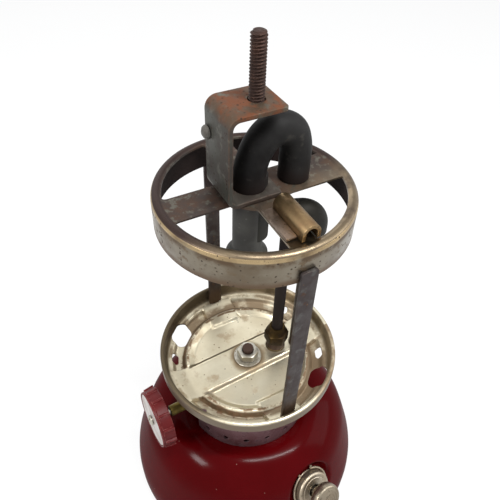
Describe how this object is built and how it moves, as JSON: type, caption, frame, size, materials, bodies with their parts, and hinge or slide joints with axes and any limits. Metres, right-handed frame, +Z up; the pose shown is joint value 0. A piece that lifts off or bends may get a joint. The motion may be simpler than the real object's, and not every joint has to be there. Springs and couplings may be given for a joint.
{
  "type": "gasoline lantern",
  "caption": "Pressure lantern base and burner frame: bulged fuel tank with pump, filler and valve wheel, pressed globe plate, strap legs, spoked top ring, bracket and threaded stud.",
  "frame": {"origin": "centre of the flat base, on the surface that the lantern stands on", "axes": "+Z up through the threaded stud; the two legs stand on -Y and +Y; the valve wheel points to -X and the return tube's second leg stands on +X"},
  "size_m": [0.15, 0.1576, 0.2961],
  "materials": {
    "maroon_enamel": "gloss",
    "aged_nickel": "aged",
    "plate_nickel": "satin",
    "stained_steel": "heat-stained",
    "dark_steel": "dull",
    "burnt_iron": "burnt",
    "rusty_steel": "rusty",
    "brass": "dull",
    "old_brass": "tarnished",
    "zinc": "plated",
    "red_plastic": "satin",
    "leather": "oiled",
    "rubber": "matt"
  },
  "bodies": {
    "lantern": {"fount_shell": "maroon_enamel", "fount_pan": "maroon_enamel", "collar": "aged_nickel", "globe_plate": "plate_nickel", "plate_washer": "zinc", "plate_nut": "zinc", "leg_front": "dark_steel", "leg_back": "dark_steel", "top_ring": "stained_steel", "bracket": "stained_steel", "bracket_screw": "rusty_steel", "bracket_nut": "rusty_steel", "ventilator_stud": "rusty_steel", "return_tube": "burnt_iron", "burner_tube": "burnt_iron", "burner_screen": "stained_steel", "mixing_elbow": "burnt_iron", "air_tube": "dark_steel", "spoke_channel": "brass", "generator_tube": "burnt_iron", "generator_tip": "brass", "generator_nut": "old_brass", "valve_body": "brass", "fuel_tube": "brass", "packing_nut": "old_brass", "pump_barrel": "brass", "pump_cap": "aged_nickel", "pump_clip": "aged_nickel", "check_valve": "brass", "filler_neck": "brass"},
    "valve": {"valve_stem": "old_brass", "valve_wheel": "red_plastic", "wheel_disc": "zinc", "wheel_screw": "zinc"},
    "plunger_cup": {"plunger_leather": "leather"},
    "pump_rod": {"plunger_rod": "aged_nickel", "pump_knob": "aged_nickel"},
    "air_needle": {"air_stem": "brass"},
    "gasket": {"filler_gasket": "rubber"},
    "fuel_cap": {"filler_cap": "aged_nickel"}
  },
  "joints": [
    {"name": "valve_turn", "type": "hinge", "parent": "lantern", "child": "valve", "pos_m": [0, 0, 0.0823], "axis": [-0.9985, -0.0436, 0.0332], "range_deg": [0, 810]},
    {"name": "pump_slide", "type": "slide", "parent": "lantern", "child": "plunger_cup", "axis": [0.1593, -0.8512, 0.5], "range_m": [0, 0.034]},
    {"name": "pump_knob_turn", "type": "hinge", "parent": "plunger_cup", "child": "pump_rod", "pos_m": [0.0116, -0.062, 0.03563], "axis": [0.1593, -0.8512, 0.5], "range_deg": [0, 360]},
    {"name": "air_stem_turn", "type": "hinge", "parent": "lantern", "child": "air_needle", "pos_m": [0.0116, -0.062, 0.03563], "axis": [0.1593, -0.8512, 0.5], "range_deg": [0, 360]},
    {"name": "gasket_lift", "type": "slide", "parent": "lantern", "child": "gasket", "axis": [0.4353, 0.5572, 0.7071], "range_m": [0, 0.0048]},
    {"name": "filler_cap_turn", "type": "hinge", "parent": "gasket", "child": "fuel_cap", "pos_m": [0.03594, 0.046, 0.054], "axis": [0.4353, 0.5572, 0.7071], "range_deg": [0, 1080]}
  ],
  "couplings": [
    {"joint": "air_stem_turn", "follows": "pump_knob_turn", "ratio": 1},
    {"joint": "gasket_lift", "follows": "filler_cap_turn", "m_per_rad": 0.00025465}
  ]
}
